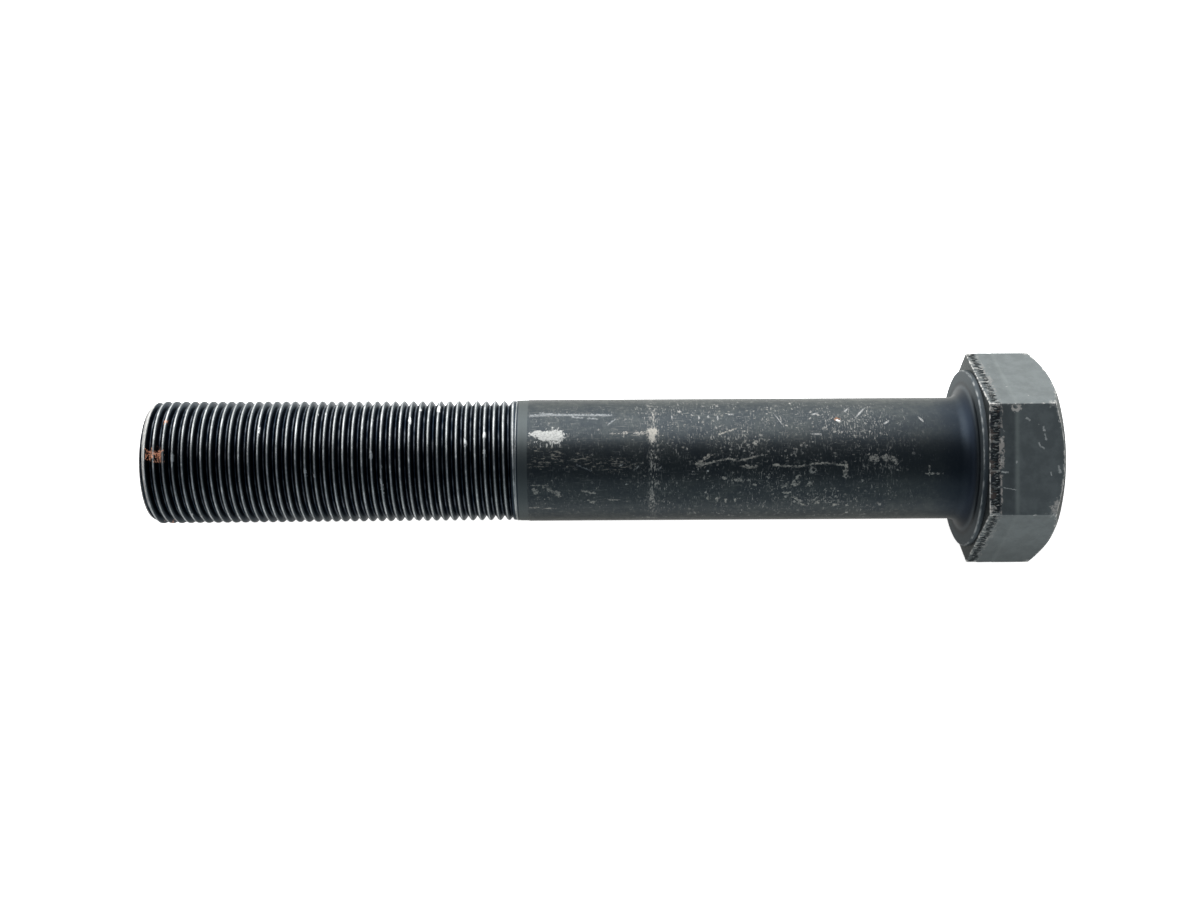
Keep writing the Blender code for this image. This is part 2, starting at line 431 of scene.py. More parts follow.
class Steel(Tree):
    """A steel material: starts with the oxide finish and lays wear over it."""

    def __init__(self, name, finish, mottle=0.6, roughness=None):
        shared_groups(finish)
        self.material = bpy.data.materials.new(name)
        self.material.use_nodes = True
        self.material.diffuse_color = rgba(finish.oxide)
        super().__init__(self.material.node_tree)
        self.shader = self.tree.nodes["Principled BSDF"]
        self.tree.nodes["Material Output"].location = (2600, 0)
        self.shader.location = (2300, 0)
        position = self.get("ShaderNodeTexCoord", output="Object")
        self.from_end = self.vector("SUBTRACT", position, (END_FACE, 0.0, AXIS_HEIGHT))
        place = self.use("bolt_space", From_End_Face=self.from_end)
        self.along, self.around = place["Along"], place["Around"]
        self.radius, self.angle = place["Radius"], place["Angle"]
        self.mm = self.scaled(self.from_end, (1 / MM, 1 / MM, 1 / MM))
        rough = finish.roughness if roughness is None else roughness
        oxide = self.use("black_oxide", Millimetres=self.mm, Mottle=mottle, Roughness=rough)
        self.color, self.roughness, self.height = oxide["Color"], oxide["Roughness"], oxide["Height"]
        self.metallic = 1.0

    def streaks(self, along, around, coverage, softness=0.06, seed=0.0):
        shape = {"Length_Along": along, "Length_Around": around, "Coverage": coverage}
        return self.use("streaks", Millimetres=self.mm, **shape, Softness=softness, Seed=seed)["Mask"]

    def flecks(self, spacing, size, coverage, seed=0.0):
        shape = {"Spacing": spacing, "Size": size, "Coverage": coverage}
        return self.use("flecks", Millimetres=self.mm, **shape, Seed=seed)["Mask"]

    def clumps(self, scale, low, high, detail=4.0, roughness=0.75, seed=None):
        """A mask of uneven clumps, from a noise that is cut between low and high."""
        return self.ramp(self.noise(self.mm, scale, detail, roughness, seed), low, high)

    def ragged(self, grain, depth):
        """A noisy field, centred on 0, that breaks up the edges of marks."""
        return (self.noise(self.mm, grain, 4.0, 0.65) - 0.5) * depth

    def mark(self, ragged, along, around, length, width, tilt=0.0):
        where = {"Along": self.along, "Around": self.around, "Ragged": ragged}
        centre = {"Centre_Along": along, "Centre_Around": around}
        return self.use("mark", **where, **centre, Length=length, Width=width, Tilt=tilt)["Mask"]

    def marks(self, ragged, *places):
        """Several marks in one mask, each given as along, around, length, width and any tilt."""
        return self.most(*[self.mark(ragged, *place) for place in places])

    def crescent(self, ragged, along, around, size):
        """An open ring: a round mark with a clear, off-centre middle."""
        whole = self.mark(ragged, along, around, size, size)
        return whole * (1.0 - self.mark(ragged, along + 0.08, around + 0.06, size * 0.5, size * 0.45))

    def line(self, ragged, stops, width):
        """A scratch through (along, around) stops, wandering a little between them."""
        parts = []
        for (a, around_a), (b, around_b) in zip(stops, stops[1:]):
            slope = (around_b - around_a) / (b - a)
            centre = (self.along - a) * slope + around_a
            off = abs(self.around - centre - ragged * 0.25)
            parts.append(self.fall(off, width * 0.35, width * 0.75) * self.window(self.along, a, b, 0.12))
        return self.most(*parts)

    def layer(self, mask, color, roughness, raised=0.0):
        """Lays a colour and a roughness over the steel where the mask is 1, raised or sunk a little."""
        self.color = self.blend(mask, self.color, color)
        self.roughness = self.mix(mask, self.roughness, roughness)
        if raised:
            self.height = self.height + mask * raised

    def finish(self, bump, edge=(0.60, 0.60, 0.58)):
        """Bump is the depth of the grain in millimetres; edge is the tint of the steel at grazing angles."""
        sockets = self.shader.inputs
        self.put(sockets["Base Color"], self.color)
        self.put(sockets["Roughness"], self.roughness)
        self.put(sockets["Metallic"], self.metallic)
        self.put(sockets["Specular Tint"], edge)
        grain = {"Strength": 1.0, "Distance": bump * MM, "Height": self.height}
        self.put(sockets["Normal"], self.get("ShaderNodeBump", grain))
        return self.material


def thread_material(sizes, finish):
    """Grooves painted near black as painted shade, crests rubbed bright in broken lines, a pale end chamfer
    and a few rust spots.
    """
    m = Steel("thread_steel", finish, mottle=0.4, roughness=0.34)
    height = m.get("ShaderNodeAttribute", output="Fac", attribute_name="thread_height")
    rag = m.ragged(2.0, 4.5)

    # The grooves are painted near black, a painted shade in the hollows, with a thin painted highlight line
    # at the root.
    low = m.fall(height, 0.55, 0.98)
    m.color = m.blend(low * 0.92, m.color, finish.groove_shade)
    # Painted highlight: a thin pale line along the bottom of each groove.
    root = m.fall(height, 0.02, 0.16) * m.streaks(0.8, 2.4, 0.6, 0.3, 4.0)
    m.layer(root * 0.75, (0.10, 0.11, 0.125), 0.42)

    # The crests are rubbed bright, brighter in some stretches than in others.
    stretch = m.streaks(0.7, 2.6, 0.56, 0.3, 3.0)
    fine = m.streaks(0.5, 0.5, 0.66, 0.35, 9.0)
    crest = m.ramp(height, 0.968, 0.995)
    worn = crest * m.mix(stretch, 0.38, 0.95) * m.mix(fine, 0.6, 1.0)
    m.layer(worn, (0.60, 0.61, 0.61), 0.72)

    # Nicks and smears that reach down the flanks.
    nick = m.flecks(2.6, 0.5, 0.16, 5.0) * m.ramp(height, 0.6, 0.9)
    m.layer(nick * 0.8, finish.bare_steel, 0.38)
    dents = m.marks(
        rag, (19.2, 5.4, 0.8, 2.0), (27.5, -2.1, 0.9, 0.8), (38.1, -3.1, 1.0, 0.8), (42.9, 7.4, 0.6, 1.2),
        (33.0, 20.0, 1.2, 1.5), (12.0, -18.0, 1.0, 2.0),
    )
    m.layer(dents * m.ramp(height, 0.55, 0.9) * 0.8, finish.bare_steel, 0.36)

    # The end chamfer is paler and drier, speckled, with a bright rim.
    slope = (sizes.crest_radius_end - sizes.end_face_radius) / sizes.end_chamfer
    cone = m.along * slope + sizes.end_face_radius / MM
    on_cone = m.fall(cone - m.radius, 0.10, 0.22) * m.fall(m.along, 0.95, 1.15)
    brushed = m.streaks(0.4, 0.8, 0.55, 0.3, 21.0)
    m.layer(on_cone * m.mix(brushed, 0.45, 0.9), (0.50, 0.48, 0.45), 0.8)
    rim = m.window(m.along, 0.8, 1.15, 0.12) * m.streaks(0.5, 0.7, 0.50, 0.15, 31.0) * on_cone
    m.layer(rim * 0.8, finish.bare_steel, 0.4)

    # The end face is plain oxide, a little scuffed.
    face = m.fall(m.along, 0.20, 0.30) * m.fall(m.radius, 9.0, 9.1)
    m.layer(face, (0.048, 0.053, 0.055), 0.5)
    scuffed = m.most(m.streaks(0.8, 0.8, 0.46, 0.2, 22.0) * 0.4, m.flecks(1.6, 0.3, 0.3, 25.0))
    m.layer(face * scuffed * 0.7, (0.26, 0.255, 0.24), 0.6)

    # Rust spots near the end.
    grains = m.clumps(4.2, 0.42, 0.54, 3.0, 0.7)
    spots = m.marks(
        rag, (2.0, 1.5, 1.3, 1.7), (3.3, 1.2, 1.2, 2.3), (3.6, 7.3, 0.9, 0.9), (6.5, 17.0, 1.2, 1.5),
        (2.7, -14.5, 1.4, 1.2),
    )
    rusty = spots * grains * 0.9
    m.metallic = m.mix(m.most(rusty, on_cone * 0.6), 1.0, 0.0)
    m.layer(rusty, finish.rust, 0.85)
    return m.finish(bump=0.008, edge=(0.54, 0.55, 0.55))


class ShankSteel(Steel):
    """Steel of the shank, with the places and the uneven fields that its marks share."""

    def __init__(self, sizes, finish):
        super().__init__("shank_steel", finish, mottle=0.7)
        self.shoulder = sizes.thread_length / MM
        self.ring_end = (sizes.thread_length + sizes.shoulder_ring) / MM
        self.bearing = (HEAD_TOP - END_FACE - sizes.head_height) / MM
        past_ring = self.ramp(self.along, self.ring_end - 0.1, self.ring_end + 0.1)
        clear_of_head = self.ramp(self.along, 116.0, 126.0, 1.0, 0.12) * self.fall(self.radius, 10.1, 10.4)
        self.used = past_ring * clear_of_head
        self.busy = self.ramp(self.along, 74.0, 84.0, 0.35, 1.0) * self.used
        self.soft = self.ragged(0.9, 6.0)
        self.rag = self.ragged(1.7, 4.5)
        self.fine_rag = self.ragged(3.2, 4.0)
        self.blunt = self.ragged(2.6, 2.0)
        self.patchy = self.clumps(0.28, 0.40, 0.62, 3.0, 0.6)
        self.grainy = self.clumps(3.2, 0.42, 0.57)


def shank_wash(m, finish):
    """The finish is blotched a little, from navy to grey, under a wash of fine marks round and along it."""
    blotched = m.clumps(0.5, 0.42, 0.60, 4.0, 0.7, 3.0)
    m.layer(blotched * 0.5, finish.oxide_dark, 0.38)
    round_marks = m.streaks(0.22, 0.9, 0.45, 0.10, 1.0)
    m.layer(round_marks * m.busy * m.mix(m.patchy, 0.2, 0.65), (0.13, 0.135, 0.13), 0.66)
    long_marks = m.streaks(2.0, 0.20, 0.42, 0.10, 2.0)
    m.layer(long_marks * m.mix(m.patchy, 0.6, 0.25) * m.used, (0.115, 0.12, 0.115), 0.6)


def shank_specks(m):
    """Specks and short strokes: many faint ones, some plainer, a few bright."""
    m.layer(
        m.flecks(0.55, 0.50, 0.42, 11.0) * m.busy * m.mix(m.patchy, 0.15, 0.75),
        (0.21, 0.205, 0.19),
        0.75,
        -0.3,
    )
    m.layer(
        m.flecks(1.0, 0.36, 0.32, 12.0) * m.busy * m.mix(m.patchy, 0.3, 0.9), (0.34, 0.33, 0.31), 0.75, -0.5
    )
    m.layer(m.flecks(2.2, 0.19, 0.34, 13.0) * m.busy * 0.75, (0.50, 0.50, 0.48), 0.7, -0.6)
    strokes = m.streaks(0.24, 0.8, 0.40, 0.06, 14.0) * m.clumps(0.4, 0.44, 0.54, 2.0, 0.5, 6.0)
    m.layer(strokes * m.busy * 0.75, (0.28, 0.275, 0.26), 0.72, -0.4)
    slanted = m.streaks(0.75, 0.26, 0.38, 0.06, 15.0) * m.clumps(0.45, 0.46, 0.56, 2.0, 0.5, 7.0)
    m.layer(slanted * m.busy * 0.75, (0.26, 0.255, 0.235), 0.72, -0.4)


def shoulder_patch(m):
    """The bright patch beside the shoulder: a blunt comma of dry scuffing, with smears below it."""
    patch = m.marks(
        m.blunt, (64.9, 4.35, 5.4, 1.2), (66.3, 4.1, 2.7, 2.3), (64.8, 3.9, 3.2, 1.3), (63.6, 4.6, 2.4, 0.9)
    )
    m.layer(patch * m.mix(m.grainy, 0.55, 0.97), (0.52, 0.52, 0.50), 0.75)
    over = m.marks(m.rag, (65.9, 5.3, 2.4, 1.0), (65.2, 2.8, 4.4, 1.2))
    m.layer(over * m.streaks(0.3, 0.9, 0.46, 0.08, 16.0) * 0.7, (0.42, 0.42, 0.40), 0.72)
    smears = m.marks(
        m.rag, (64.2, 1.4, 3.6, 2.2), (63.8, -0.4, 3.4, 1.8), (66.4, 0.6, 2.2, 2.6), (69.5, 0.2, 6.0, 2.0),
        (75.5, -0.6, 7.0, 2.4),
    )
    across = m.most(m.streaks(1.1, 0.24, 0.46, 0.07, 17.0), m.streaks(0.24, 0.7, 0.40, 0.07, 18.0) * 0.7)
    m.layer(smears * across * 0.8, (0.22, 0.21, 0.185), 0.75)
    lower = m.marks(
        m.rag, (65.1, -4.6, 1.5, 0.8, -0.6), (66.5, -5.5, 1.3, 1.0, -0.7), (63.7, -3.95, 2.6, 0.22),
        (63.0, -5.0, 0.9, 1.2), (62.9, -8.5, 1.6, 0.35), (65.1, -8.7, 1.6, 0.3),
        (71.4, -5.2, 2.3, 0.5, -0.3), (72.1, -7.2, 0.9, 0.5), (75.3, -6.8, 2.2, 0.3),
    )
    m.layer(lower * m.mix(m.grainy, 0.1, 0.75), (0.30, 0.29, 0.265), 0.72)
    spread = m.marks(m.soft, (65.2, -5.0, 5.4, 4.4), (70.5, -6.4, 6.0, 3.0), (78.2, -2.2, 5.0, 3.6))
    m.layer(spread * m.flecks(0.6, 0.5, 0.55, 19.0) * 0.7, (0.27, 0.265, 0.24), 0.75)


def rubbed_ring(m):
    """A pale ring rubbed into the finish, brightest on one side."""
    core = m.fall(abs(m.along - 81.8 + m.soft * 0.3), 0.2, 1.15) * m.used
    uneven = m.ramp(abs(m.around + 0.5), 3.0, 9.0, 1.0, 0.35)
    ring_marks = m.most(m.streaks(0.22, 0.8, 0.48, 0.08, 6.0) * 0.7, m.flecks(0.5, 0.55, 0.6, 7.0) * 0.85)
    m.layer(core * uneven * ring_marks, (0.40, 0.385, 0.355), 0.75)
    halo = m.window(m.along, 79.8, 83.8, 0.8) * m.flecks(0.7, 0.3, 0.5, 8.0)
    m.layer(halo * m.used * 0.6, (0.34, 0.33, 0.30), 0.72)
    blotch = m.marks(m.blunt, (81.7, 4.7, 1.7, 1.5), (81.6, 3.7, 1.1, 1.7))
    m.layer(blotch * m.mix(m.grainy, 0.5, 0.9), (0.44, 0.42, 0.38), 0.75)
    beside = m.marks(
        m.rag, (77.2, 4.55, 1.0, 0.5), (79.2, 4.5, 1.0, 0.6), (80.3, 4.6, 1.2, 0.5), (76.0, 4.5, 1.6, 0.18),
        (81.9, 8.0, 0.22, 3.2), (81.6, -6.0, 0.7, 2.2),
    )
    m.layer(beside * m.grainy * 0.8, (0.34, 0.325, 0.30), 0.7)


def shank_scratches(m):
    """Long light scratches high on one side, and wandering ones along the middle and the far side."""
    scratch = m.most(
        m.line(m.fine_rag, ((62.0, 8.1), (66.0, 8.3), (75.3, 8.15)), 0.46),
        m.line(m.fine_rag, ((68.8, 7.8), (70.6, 7.55)), 0.28),
        m.line(m.fine_rag, ((71.3, 7.5), (73.0, 7.3)), 0.24),
        m.line(m.fine_rag, ((63.6, 8.8), (66.0, 8.5)), 0.24),
        m.line(m.fine_rag, ((74.6, 6.1), (75.9, 7.3)), 0.26),
        m.line(m.fine_rag, ((69.5, -0.6), (72.0, -1.6)), 0.2),
    )
    m.layer(scratch * m.mix(m.grainy, 0.2, 0.6), (0.24, 0.25, 0.255), 0.6)

    wander = m.most(
        m.line(
            m.fine_rag,
            (
                (88.8, -0.8), (90.4, -0.5), (92.2, 0.0), (93.9, 0.25), (95.2, -0.15), (96.6, 0.2),
                (98.6, 0.75),
            ),
            0.30,
        ),
        m.line(
            m.fine_rag,
            ((100.7, -0.8), (104.7, -1.1), (107.3, -0.65), (109.3, -0.5), (111.0, -0.8), (112.6, -1.0)),
            0.26,
        ),
        m.line(m.fine_rag, ((92.2, 4.2), (95.1, 5.3)), 0.18),
        m.line(m.fine_rag, ((84.0, -21.0), (90.0, -19.6), (97.0, -20.4), (103.0, -18.6)), 0.3),
    )
    broken = m.ramp(m.noise(m.mm, 0.9, 3.0, 0.7, 8.0), 0.40, 0.52, 0.25, 1.0)
    m.layer(wander * broken * m.mix(m.grainy, 0.45, 0.95), (0.36, 0.345, 0.31), 0.7, -1.0)
    ends = m.marks(
        m.rag, (89.3, -0.5, 1.7, 1.2), (90.4, 0.5, 1.3, 0.7, 0.4), (96.9, -1.0, 2.6, 0.5),
        (101.2, -0.7, 1.0, 0.4), (112.3, -1.5, 0.8, 2.0),
    )
    m.layer(ends * m.mix(m.grainy, 0.15, 0.85), (0.38, 0.36, 0.32), 0.72)


def shank_knocks(m):
    """Small crescents left by other bolts, scuffs in clusters, and single bright knocks."""
    rings = m.most(
        m.crescent(m.fine_rag, 107.1, -1.7, 1.15),
        m.crescent(m.fine_rag, 112.3, -2.7, 0.75),
        m.crescent(m.fine_rag, 98.0, 2.8, 0.8),
    )
    m.layer(rings * m.mix(m.grainy, 0.35, 0.8), (0.42, 0.405, 0.37), 0.7)
    knocks = m.marks(
        m.fine_rag, (84.9, 7.5, 0.3, 0.8), (89.2, 7.5, 0.3, 0.9, 0.3), (90.7, 7.7, 0.3, 0.7),
        (92.2, 7.4, 0.3, 1.1), (94.3, 8.2, 0.9, 0.4), (102.0, 6.9, 1.5, 0.4, -2.0),
        (107.8, 8.2, 1.3, 0.5, 0.4), (113.0, 9.1, 0.9, 0.6, 1.0), (115.2, 8.5, 1.9, 0.6, 1.3),
        (119.1, 6.3, 1.1, 0.5, 0.7), (124.8, 6.8, 0.9, 0.6, -1.2), (107.8, 4.2, 2.0, 0.35),
        (76.6, -0.7, 0.8, 0.35, 0.5), (79.2, -1.1, 0.7, 0.4, 0.8), (82.8, -1.2, 0.7, 0.4, 0.9),
    )
    m.layer(knocks * m.mix(m.grainy, 0.1, 0.75), (0.40, 0.40, 0.39), 0.68)
    scuffs = m.marks(
        m.rag, (93.0, -2.9, 0.6, 0.5), (95.2, -3.2, 1.3, 0.6), (97.9, -4.0, 0.7, 0.5),
        (104.3, -3.8, 1.1, 0.9), (102.8, -4.1, 0.9, 0.6, 0.6), (104.7, -2.7, 0.7, 0.7),
        (106.7, -3.9, 1.1, 0.9), (103.2, -5.5, 1.6, 0.35), (104.8, -6.7, 1.6, 0.7, -0.8),
        (105.8, -8.0, 1.0, 0.5, -0.6), (90.5, -6.4, 0.35, 0.9), (92.0, -6.8, 0.4, 0.9),
        (93.4, -7.0, 0.4, 0.9), (94.9, -7.0, 0.4, 0.8), (116.8, 0.2, 1.5, 1.0), (118.6, 0.3, 1.6, 0.9),
        (120.1, -0.2, 1.4, 0.9, -0.4), (126.3, -2.3, 2.4, 0.35), (125.6, -1.9, 0.3, 1.6),
        (111.1, -8.2, 1.0, 0.5), (108.2, -7.6, 0.9, 0.7),
    )
    m.layer(scuffs * m.mix(m.grainy, 0.1, 0.8), (0.38, 0.365, 0.33), 0.72)
    fields = m.marks(
        m.soft, (113.5, 5.6, 9.0, 4.0), (96.0, 3.2, 7.0, 4.5), (109.0, -7.0, 9.0, 3.0),
        (104.4, 1.4, 4.4, 2.6), (98.0, -3.0, 9.0, 3.0), (118.6, 0.1, 5.0, 3.0), (84.0, 22.0, 14.0, 5.0),
        (108.0, -24.0, 12.0, 6.0), (72.0, -20.0, 9.0, 4.0),
    )
    field_marks = m.most(m.flecks(0.62, 0.50, 0.6, 23.0), m.streaks(0.26, 0.6, 0.43, 0.07, 24.0) * 0.8)
    m.layer(fields * field_marks * 0.8, (0.30, 0.295, 0.275), 0.74)
    rust = m.mark(m.fine_rag, 111.2, 6.95, 0.9, 0.7)
    m.metallic = m.mix(rust * 0.8, 1.0, 0.0)
    m.layer(rust * 0.8, (0.22, 0.10, 0.05), 0.7)
    m.layer(m.mark(m.fine_rag, 111.4, 6.7, 0.6, 0.5), (0.6, 0.6, 0.58), 0.45)


def shoulder_ring(m, finish):
    """The smooth ring at the shoulder keeps its finish, with a bright lip and a dark line of painted shade
    beside it.
    """
    ring = m.window(m.along, m.shoulder - 0.3, m.ring_end - 0.02, 0.05)
    m.layer(ring * 0.85, (0.062, 0.070, 0.071), 0.5)
    lip = m.window(m.along, m.shoulder - 0.08, m.shoulder + 0.08, 0.04)
    m.layer(lip * m.mix(m.streaks(0.6, 2.5, 0.72, 0.3, 33.0), 0.3, 0.8), (0.30, 0.31, 0.31), 0.38)
    # Painted shade: a dark line in the narrow groove beside the lip.
    line = m.window(m.along, m.shoulder + 0.16, m.shoulder + 0.34, 0.05)
    m.layer(line * 0.75, finish.groove_shade, 0.4)


def fillet_and_washer_face(m):
    """The shank near the head and the fillet are darkened with painted shade, and the fillet has a soft
    painted highlight ring; the washer face is greyer, with a pale rim.
    """
    # Painted shade: the shank darkens towards the head, and the fillet darker still.
    head_painted_shade = m.ramp(m.along, m.bearing - 7.5, m.bearing - 2.2) * m.fall(m.radius, 12.0, 12.6)
    m.layer(head_painted_shade * 0.75, (0.014, 0.019, 0.027), 0.42)
    fillet = m.ramp(m.radius, 10.1, 10.6)
    m.layer(fillet * 0.9, (0.012, 0.016, 0.023), 0.44)
    # Painted highlight: a soft pale ring in the fillet near the washer face.
    m.layer(m.window(m.radius, 11.5, 12.0, 0.4) * 0.45, (0.10, 0.115, 0.125), 0.5)
    m.layer(m.ramp(m.radius, 12.3, 13.0) * 0.8, (0.064, 0.074, 0.080), 0.6)
    rim = (
        m.ramp(m.radius, 14.22, 14.40)
        * m.fall(m.along, m.bearing + 0.16, m.bearing + 0.34)
        * m.streaks(0.6, 1.6, 0.58, 0.2, 36.0)
    )
    m.layer(rim * 0.5, (0.30, 0.305, 0.30), 0.6)


def shank_material(sizes, finish):
    """Satin black shank, scuffed and flecked, with a smooth ring, a rubbed ring and a bright worn patch."""
    m = ShankSteel(sizes, finish)
    shank_wash(m, finish)
    shank_specks(m)
    shoulder_patch(m)
    rubbed_ring(m)
    shank_scratches(m)
    shank_knocks(m)
    shoulder_ring(m, finish)
    fillet_and_washer_face(m)
    return m.finish(bump=0.010)


class HeadSteel(Steel):
    """Steel of the head, with the places and the uneven fields that its marks share."""

    def __init__(self, sizes, finish):
        super().__init__("head_steel", finish, mottle=0.5, roughness=0.50)
        top_along = (HEAD_TOP - END_FACE) / MM
        base_along = top_along - (sizes.head_height - sizes.washer_face_height) / MM
        edges = {"Top_Radius": sizes.head_top_radius / MM, "Base_Along": base_along, "Top_Along": top_along}
        place = self.use("hexagon_space", From_End_Face=self.from_end, **edges)
        self.across, self.inset = place["Across"], place["Inset"]
        self.corner, self.chamfer = place["Corner Distance"], place["Chamfer Distance"]
        self.base = place["Base Distance"]
        self.on_side = self.fall(self.inset, 0.25, 0.45) * self.ramp(self.base, 0.02, 0.08)
        self.facing = self.fall(abs(self.angle), 0.50, 0.53)
        self.band = sizes.trim_band / MM
        self.step = sizes.trim_step / MM
        self.fine = self.ragged(1.8, 4.0)
        self.wander = self.ragged(0.55, 3.0)
        self.grainy = self.clumps(2.8, 0.42, 0.57)

    def stroke(self, start, end, width):
        """A short straight mark on a flat, from (distance to base, across) to another such point."""
        (ax, ay), (bx, by) = start, end
        length = math.hypot(bx - ax, by - ay)
        ux, uy = (bx - ax) / length, (by - ay) / length
        dx, dy = self.base - ax, self.across - ay
        down = dx * ux + dy * uy
        off = abs(dy * ux - dx * uy + self.fine * 0.2)
        return self.fall(off, width * 0.3, width * 0.8) * self.window(down, 0.0, length, 0.1)

    def oval(self, base_at, across_at, length, width):
        """A ragged oval mark on a flat."""
        ax = (self.base - base_at) / (length / 2)
        ay = (self.across - across_at) / (width / 2)
        return self.fall(self.math("SQRT", ax * ax + ay * ay) + self.fine * 0.7, 0.75, 1.1)


def head_flats(m, finish):
    """Flats are greyer than the rest, darker between the trim band and the faint second line, and darkened
    with painted shade low on the -Y side.
    """
    flats = m.on_side * m.ramp(m.noise(m.mm, 0.45, 5.0, 0.7), 0.38, 0.62, 0.74, 1.0)
    past_step = m.ramp(m.base, m.step - 0.7, m.step + 0.2)
    m.layer(flats * m.mix(past_step, m.mix(m.facing, 0.88, 0.62), 1.0), finish.trimmed, 0.64)
    # Painted shade: the flats darken towards the oxide colour low on the -Y side, near the floor.
    under = m.ramp(m.split(m.from_end)[1] / MM, -17.0, -11.5, 0.42, 0.0)
    m.layer(under, finish.oxide, 0.6)
    drawn = m.streaks(9.0, 0.5, 0.45, 0.4, 2.0)
    m.layer(drawn * m.on_side * 0.22, (0.10, 0.11, 0.11), 0.55)


def torn_trim_band(m):
    """The trim band has pale torn strokes across it, and is darkest on the upper flat."""
    in_band = m.fall(m.base, m.band - 0.35, m.band - 0.05) * m.on_side
    m.layer(in_band * m.mix(m.facing, 0.3, 0.85), (0.022, 0.024, 0.028), 0.56)
    strokes = in_band * m.streaks(1.8, 0.42, 0.48, 0.07, 5.0)
    m.layer(strokes * 0.8, (0.30, 0.30, 0.285), 0.62)
    rusted = in_band * m.facing * m.clumps(0.9, 0.50, 0.60, 2.0, 0.5, 9.0)
    m.layer(rusted * 0.5, (0.13, 0.095, 0.08), 0.6)

    # The torn line where the band ends, with lumps of pale metal about the middle.
    torn_at = m.band + 0.02 + m.wander * 0.30
    lumps = m.ramp(abs(m.across - 0.8), 2.0, 4.5, 0.50, 0.20)
    torn = m.fall(abs(m.base - torn_at) - lumps, -0.18, 0.02)
    torn = torn * m.streaks(0.6, 0.7, 0.56, 0.12, 8.0) * m.on_side * m.mix(m.facing, 0.2, 1.0)
    m.layer(torn * 0.85, (0.40, 0.36, 0.33), 0.62)
    # Painted highlight: a faint pale line along the ridge of the second trim line.
    second = m.fall(abs(m.base - m.step), 0.0, 0.6) * m.on_side
    m.layer(second * m.mix(m.facing, 0.06, 0.32), (0.25, 0.27, 0.25), 0.6)


def worn_head_edges(m, finish):
    """Bright edges: along the chamfer, round the base and down the corners."""
    worn_chamfer = m.fall(abs(m.chamfer) + m.fine * 0.35, 0.02, 0.30)
    worn_chamfer = worn_chamfer * m.streaks(0.7, 0.7, 0.58, 0.2, 41.0) * m.fall(m.inset, 0.30, 0.60)
    cone = m.fall(m.chamfer, -0.2, -0.05) * m.ramp(m.radius, 13.9, 14.2)
    m.layer(cone * 0.7, finish.trimmed, 0.6)
    worn_cone = cone * m.streaks(1.3, 1.3, 0.46, 0.35, 42.0) * 0.55
    base_edge = m.fall(m.inset, 0.16, 0.34) * m.fall(m.base, 0.10, 0.22)
    worn_base = base_edge * m.streaks(0.7, 0.7, 0.58, 0.2, 43.0)
    at_corner = m.fall(m.corner + m.fine * 0.25, 0.10, 0.30)
    corner_line = at_corner * m.streaks(1.0, 0.6, 0.45, 0.12, 44.0) * m.on_side
    near_top = m.fall(m.corner + m.wander, 0.45, 1.0) * m.fall(m.chamfer, 0.4, 1.3)
    near_base = m.fall(m.corner + m.wander, 0.25, 0.75) * m.fall(m.base, 0.8, 1.8)
    tips = m.most(near_top, near_base) * m.mix(m.grainy, 0.1, 1.0) * m.on_side
    worn = m.most(worn_chamfer * 0.75, worn_cone, worn_base * 0.75, corner_line * 0.75, tips * 0.75)
    m.layer(worn, (0.50, 0.485, 0.46), 0.62)


def upper_flat_marks(m):
    """Marks placed on the upper flat: short strokes, a hook, a crescent and a smeared corner."""
    upper = m.on_side * m.facing
    placed = m.most(
        m.stroke((8.35, 5.1), (8.5, 4.3), 0.22),
        m.stroke((8.55, 4.0), (8.8, 2.9), 0.24),
        m.stroke((7.6, 2.6), (7.9, 1.9), 0.22),
        m.stroke((7.9, 1.9), (8.5, 1.65), 0.24),
        m.stroke((9.5, -2.0), (9.55, -2.6), 0.22),
        m.stroke((10.7, -1.0), (10.95, -2.2), 0.34),
        m.stroke((1.8, -2.0), (2.9, -2.05), 0.2),
        m.stroke((2.1, -4.4), (4.1, -4.75), 0.1),
        m.stroke((5.6, 6.4), (6.3, 6.0), 0.2),
        m.stroke((4.1, -0.3), (4.3, -0.5), 0.3),
    )
    m.layer(placed * upper * m.mix(m.grainy, 0.5, 0.9), (0.46, 0.46, 0.44), 0.6)

    smear = m.most(
        m.oval(10.7, -7.6, 2.6, 2.6), m.oval(0.6, 8.1, 1.7, 1.3), m.oval(0.5, -8.1, 1.2, 1.6),
        m.oval(2.0, -0.2, 0.7, 1.2), m.oval(1.95, 3.0, 0.5, 1.0),
    )
    ring = m.oval(4.1, 8.0, 1.7, 1.3) * (1.0 - m.oval(4.0, 8.15, 0.9, 0.6))
    m.layer(m.most(smear * m.mix(m.grainy, 0.3, 1.0), ring) * upper * 0.85, (0.50, 0.465, 0.43), 0.65)


def head_handling_marks(m):
    """Light handling marks everywhere on the head."""
    flat_nicks = m.most(m.flecks(2.4, 0.16, 0.26, 51.0), m.flecks(0.9, 0.30, 0.20, 52.0) * 0.6)
    m.layer(flat_nicks * 0.75, (0.42, 0.42, 0.40), 0.62, -0.6)
    rubs = m.streaks(0.3, 1.4, 0.33, 0.06, 53.0) * m.clumps(0.3, 0.52, 0.60, 2.0, 0.5)
    m.layer(rubs * 0.6, (0.34, 0.34, 0.33), 0.6)


def head_material(sizes, finish):
    """Head with greyer satin flats, a torn trim band, bright worn edges and corners."""
    m = HeadSteel(sizes, finish)
    head_flats(m, finish)
    torn_trim_band(m)
    worn_head_edges(m, finish)
    upper_flat_marks(m)
    head_handling_marks(m)
    return m.finish(bump=0.012)


